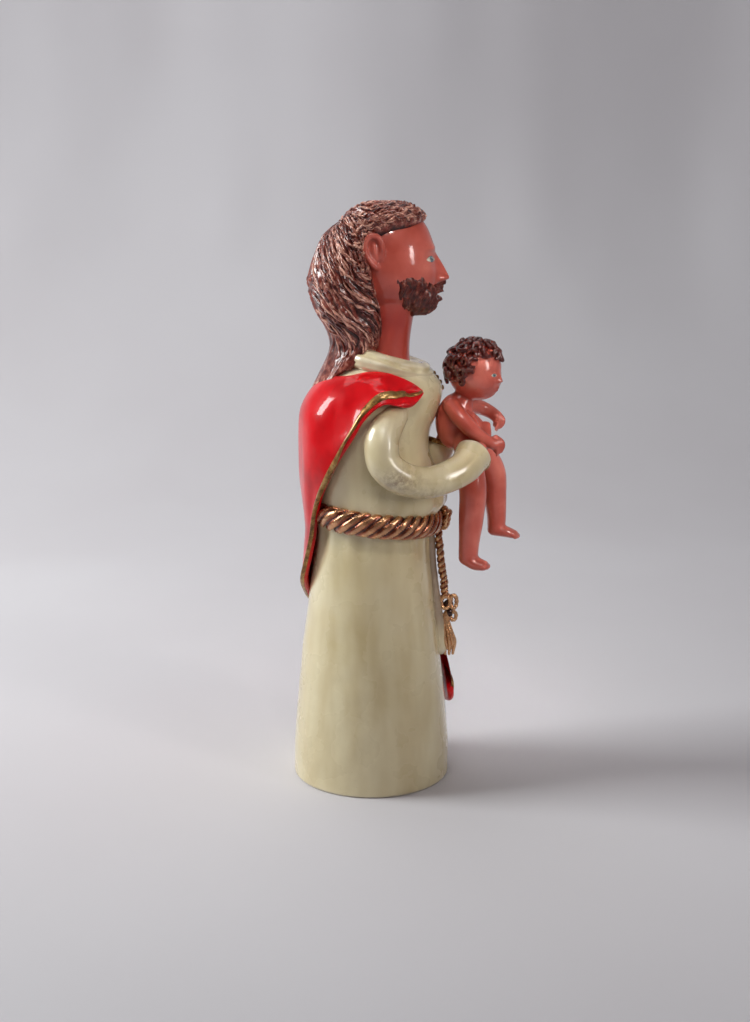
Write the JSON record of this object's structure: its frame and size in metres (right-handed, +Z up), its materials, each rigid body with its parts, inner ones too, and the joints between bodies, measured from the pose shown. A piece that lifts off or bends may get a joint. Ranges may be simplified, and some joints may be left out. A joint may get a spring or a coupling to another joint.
{
  "type": "saint joseph statue",
  "caption": "Glazed clay figurine of a robed, bearded standing man in a draped mantle with a rope belt, who carries a small child on his forearms.",
  "frame": {"origin": "centre of the skirt's round underside, on the surface that the figure stands on", "axes": "+Z up, -Y the way the figure looks, +X to the figure's own left"},
  "size_m": [0.0905, 0.112, 0.2801],
  "materials": {
    "cream_glaze": "glossy cream glaze on the robe and sleeves",
    "red_glaze": "glossy red glaze on the mantle",
    "gold_glaze": "gold lustre on the mantle's rim, the cuffs and the neckline",
    "copper_glaze": "copper lustre on the rope belt, cord and tassel",
    "skin_glaze": "glossy salmon glaze on the head, neck, hands and child",
    "hair_glaze": "glossy brown glaze, lighter on the ridges, on hair and beard",
    "eye_glaze": "white glaze with painted iris and lid lines",
    "bare_clay": "unglazed brown underside"
  },
  "bodies": {
    "root": {"saint_joseph_figure": "cream_glaze"}
  },
  "joints": []
}
